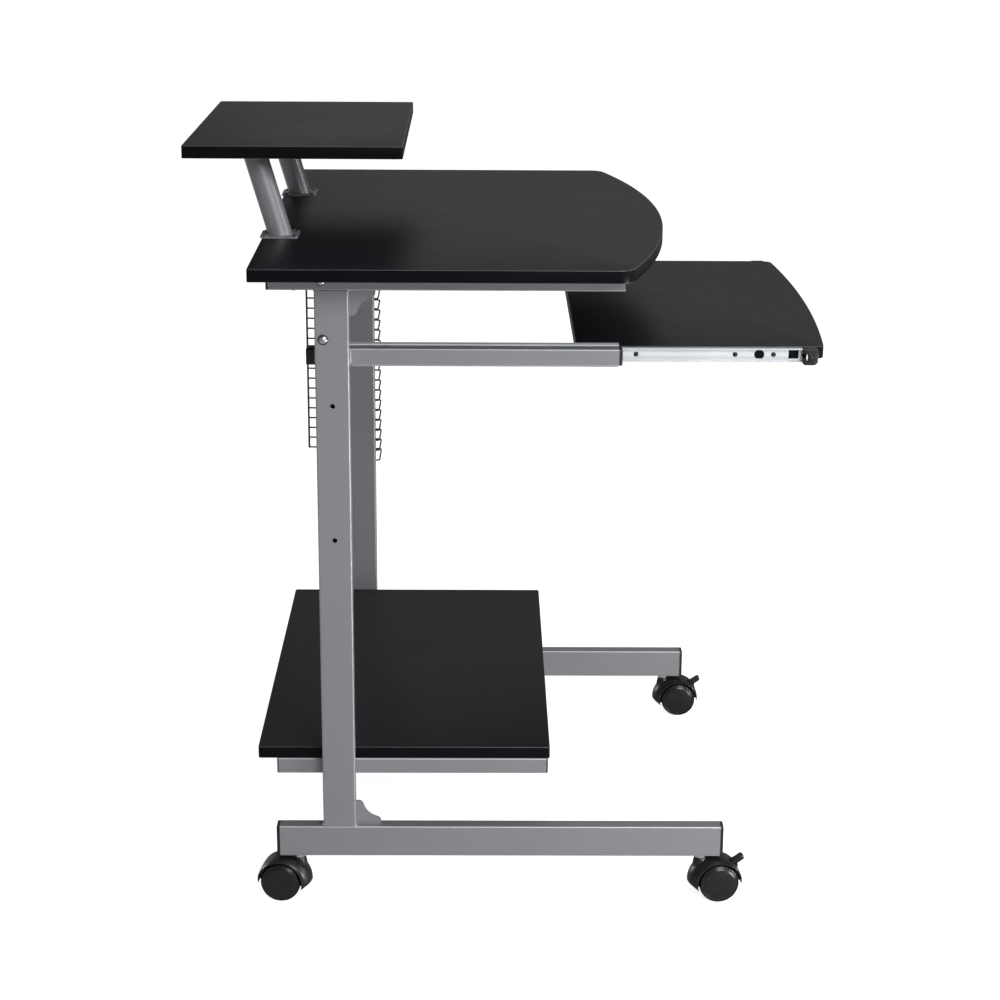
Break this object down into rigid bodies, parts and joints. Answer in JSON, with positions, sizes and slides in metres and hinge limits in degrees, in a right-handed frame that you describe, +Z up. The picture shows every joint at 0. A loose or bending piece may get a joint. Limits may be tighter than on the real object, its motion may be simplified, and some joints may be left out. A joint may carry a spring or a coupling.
{
  "type": "computer desk",
  "caption": "Charcoal computer desk on casters with a pull-out keyboard tray, raised monitor shelf, lower shelf and wire disc rack",
  "frame": {"origin": "on the floor, at the middle of the object's box, with the tray pulled out", "axes": "+X towards the sitter's right, the sitter is on the -Y side, +Z up"},
  "size_m": [0.751, 0.773, 0.9285],
  "materials": {
    "laminate": "charcoal laminate on particle board",
    "powder_coat": "silver-grey powder coat",
    "zinc": "bright zinc plate",
    "bright_steel": "bright nickel plate",
    "dark_steel": "black oxide",
    "rack_wire": "dark grey powder coat",
    "black_plastic": "moulded, satin"
  },
  "bodies": {
    "desk": {"desktop": "laminate", "monitor_shelf": "laminate", "lower_shelf": "laminate", "left_foot": "powder_coat", "right_foot": "powder_coat", "left_column": "powder_coat", "right_column": "powder_coat", "left_top_rail": "powder_coat", "right_top_rail": "powder_coat", "left_shelf_rail": "powder_coat", "right_shelf_rail": "powder_coat", "left_slide_tube": "powder_coat", "right_slide_tube": "powder_coat", "upper_gussets": "powder_coat", "lower_gussets": "powder_coat", "rear_crossbar": "powder_coat", "frame_bolts": "dark_steel", "foot_end_caps": "black_plastic", "rail_end_plugs": "black_plastic", "slide_tube_plugs": "black_plastic", "left_post": "powder_coat", "right_post": "powder_coat", "post_base_plates": "powder_coat", "post_top_plates": "powder_coat", "post_screws": "bright_steel", "board_screws": "dark_steel", "left_slide_channel": "zinc", "right_slide_channel": "zinc", "slide_guides": "black_plastic", "rack_front_bends": "rack_wire", "rack_outer_wires": "rack_wire", "rack_inner_wires": "rack_wire", "rack_uprights": "rack_wire", "rack_screws": "rack_wire", "caster_stems": "bright_steel"},
    "tray": {"keyboard_tray": "laminate", "left_slide_member": "zinc", "right_slide_member": "zinc", "tray_end_stops": "black_plastic", "tray_screws": "dark_steel"},
    "left_cage": {"left_ball_cage": "zinc"},
    "right_cage": {"right_ball_cage": "zinc"},
    "rear_left_caster": {"rear_left_hood": "black_plastic", "rear_left_axle": "bright_steel"},
    "rear_left_outer": {"rear_left_outer_wheel": "black_plastic"},
    "rear_left_inner": {"rear_left_inner_wheel": "black_plastic"},
    "rear_right_caster": {"rear_right_hood": "black_plastic", "rear_right_axle": "bright_steel"},
    "rear_right_outer": {"rear_right_outer_wheel": "black_plastic"},
    "rear_right_inner": {"rear_right_inner_wheel": "black_plastic"},
    "front_left_caster": {"front_left_hood": "black_plastic", "front_left_axle": "bright_steel"},
    "front_left_outer": {"front_left_outer_wheel": "black_plastic"},
    "front_left_inner": {"front_left_inner_wheel": "black_plastic"},
    "front_left_lever": {"front_left_brake_lever": "black_plastic"},
    "front_right_caster": {"front_right_hood": "black_plastic", "front_right_axle": "bright_steel"},
    "front_right_outer": {"front_right_outer_wheel": "black_plastic"},
    "front_right_inner": {"front_right_inner_wheel": "black_plastic"},
    "front_right_lever": {"front_right_brake_lever": "black_plastic"}
  },
  "joints": [
    {"name": "tray_slide", "type": "slide", "parent": "desk", "child": "tray", "axis": [0, 1, 0], "range_m": [0, 0.213]},
    {"name": "left_cage_slide", "type": "slide", "parent": "desk", "child": "left_cage", "axis": [0, 1, 0], "range_m": [0, 0.1065]},
    {"name": "right_cage_slide", "type": "slide", "parent": "desk", "child": "right_cage", "axis": [0, 1, 0], "range_m": [0, 0.1065]},
    {"name": "rear_left_swivel", "type": "hinge", "parent": "desk", "child": "rear_left_caster", "pos_m": [-0.3115, 0.257, 0.045], "axis": [0, 0, 1], "continuous": true},
    {"name": "rear_left_outer_roll", "type": "hinge", "parent": "rear_left_caster", "child": "rear_left_outer", "pos_m": [-0.30838, 0.27918, 0.025], "axis": [0.9903, -0.1392, 0], "continuous": true},
    {"name": "rear_left_inner_roll", "type": "hinge", "parent": "rear_left_caster", "child": "rear_left_inner", "pos_m": [-0.30838, 0.27918, 0.025], "axis": [0.9903, -0.1392, 0], "continuous": true},
    {"name": "rear_right_swivel", "type": "hinge", "parent": "desk", "child": "rear_right_caster", "pos_m": [0.2985, 0.257, 0.045], "axis": [0, 0, 1], "continuous": true},
    {"name": "rear_right_outer_roll", "type": "hinge", "parent": "rear_right_caster", "child": "rear_right_outer", "pos_m": [0.29655, 0.27931, 0.025], "axis": [0.9962, 0.0872, 0], "continuous": true},
    {"name": "rear_right_inner_roll", "type": "hinge", "parent": "rear_right_caster", "child": "rear_right_inner", "pos_m": [0.29655, 0.27931, 0.025], "axis": [0.9962, 0.0872, 0], "continuous": true},
    {"name": "front_left_swivel", "type": "hinge", "parent": "desk", "child": "front_left_caster", "pos_m": [-0.3115, -0.244, 0.045], "axis": [0, 0, 1], "continuous": true},
    {"name": "front_left_outer_roll", "type": "hinge", "parent": "front_left_caster", "child": "front_left_outer", "pos_m": [-0.30916, -0.26628, 0.025], "axis": [-0.9945, -0.1045, 0], "continuous": true},
    {"name": "front_left_inner_roll", "type": "hinge", "parent": "front_left_caster", "child": "front_left_inner", "pos_m": [-0.30916, -0.26628, 0.025], "axis": [-0.9945, -0.1045, 0], "continuous": true},
    {"name": "front_left_brake", "type": "hinge", "parent": "front_left_caster", "child": "front_left_lever", "pos_m": [-0.30696, -0.28716, 0.0445], "axis": [0.9945, 0.1045, 0], "range_deg": [0, 25]},
    {"name": "front_right_swivel", "type": "hinge", "parent": "desk", "child": "front_right_caster", "pos_m": [0.2985, -0.244, 0.045], "axis": [0, 0, 1], "continuous": true},
    {"name": "front_right_outer_roll", "type": "hinge", "parent": "front_right_caster", "child": "front_right_outer", "pos_m": [0.29889, -0.2664, 0.025], "axis": [-0.9998, -0.0175, 0], "continuous": true},
    {"name": "front_right_inner_roll", "type": "hinge", "parent": "front_right_caster", "child": "front_right_inner", "pos_m": [0.29889, -0.2664, 0.025], "axis": [-0.9998, -0.0175, 0], "continuous": true},
    {"name": "front_right_brake", "type": "hinge", "parent": "front_right_caster", "child": "front_right_lever", "pos_m": [0.29926, -0.28739, 0.0445], "axis": [0.9998, 0.0175, 0], "range_deg": [0, 25]}
  ],
  "couplings": [
    {"joint": "left_cage_slide", "follows": "tray_slide", "ratio": 0.5},
    {"joint": "right_cage_slide", "follows": "tray_slide", "ratio": 0.5}
  ]
}
